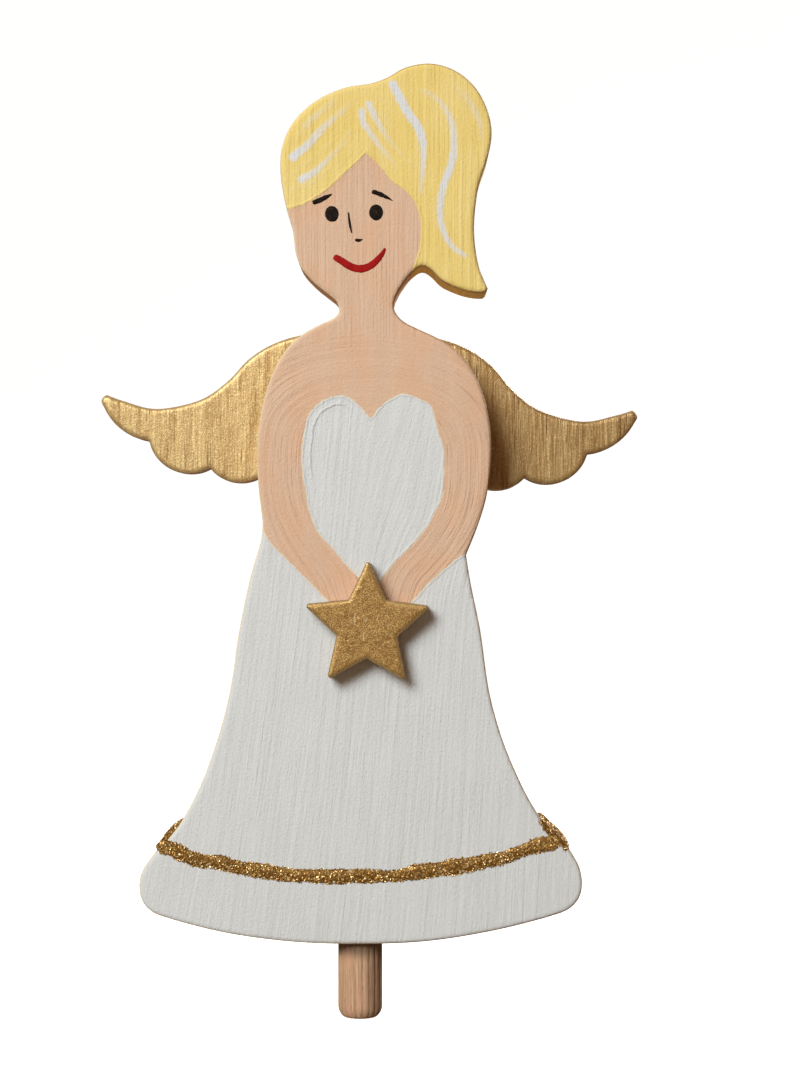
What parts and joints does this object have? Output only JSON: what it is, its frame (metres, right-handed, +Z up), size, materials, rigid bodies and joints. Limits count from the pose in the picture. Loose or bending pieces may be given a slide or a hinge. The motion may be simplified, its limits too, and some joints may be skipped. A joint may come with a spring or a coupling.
{
  "type": "wooden angel figurine",
  "caption": "Flat sawn wooden angel, painted, with wings behind, a star held in front, a glitter hem and a fluted dowel peg below.",
  "frame": {"origin": "on the peg's axis, level with the lowest point of the hem, halfway through the body board", "axes": "+Z up along the figure, front faces -Y, +X to the right seen from the front"},
  "size_m": [0.0988, 0.0225, 0.172],
  "materials": {
    "painted_board": "hand-painted board: off-white dress, skin, blonde hair, matt acrylic over wood grain",
    "hair_paint": "matt pale yellow paint with white streaks",
    "skin_paint": "matt skin-coloured paint with brush marks",
    "face_ink": "matt dark brown paint of the eyes, brows and nose",
    "lip_paint": "satin red paint of the smile",
    "gold_paint": "satin metallic gold paint over sawn wood",
    "star_gold": "finely sparkling gold paint over sawn wood",
    "bare_wood": "bare fluted beech",
    "gold_glitter": "raised bead of clear glue filled with gold glitter flakes"
  },
  "bodies": {
    "root": {"body_board": "painted_board", "wings_board": "gold_paint", "star": "star_gold", "dowel_peg": "bare_wood", "glitter_band": "gold_glitter"}
  },
  "joints": []
}
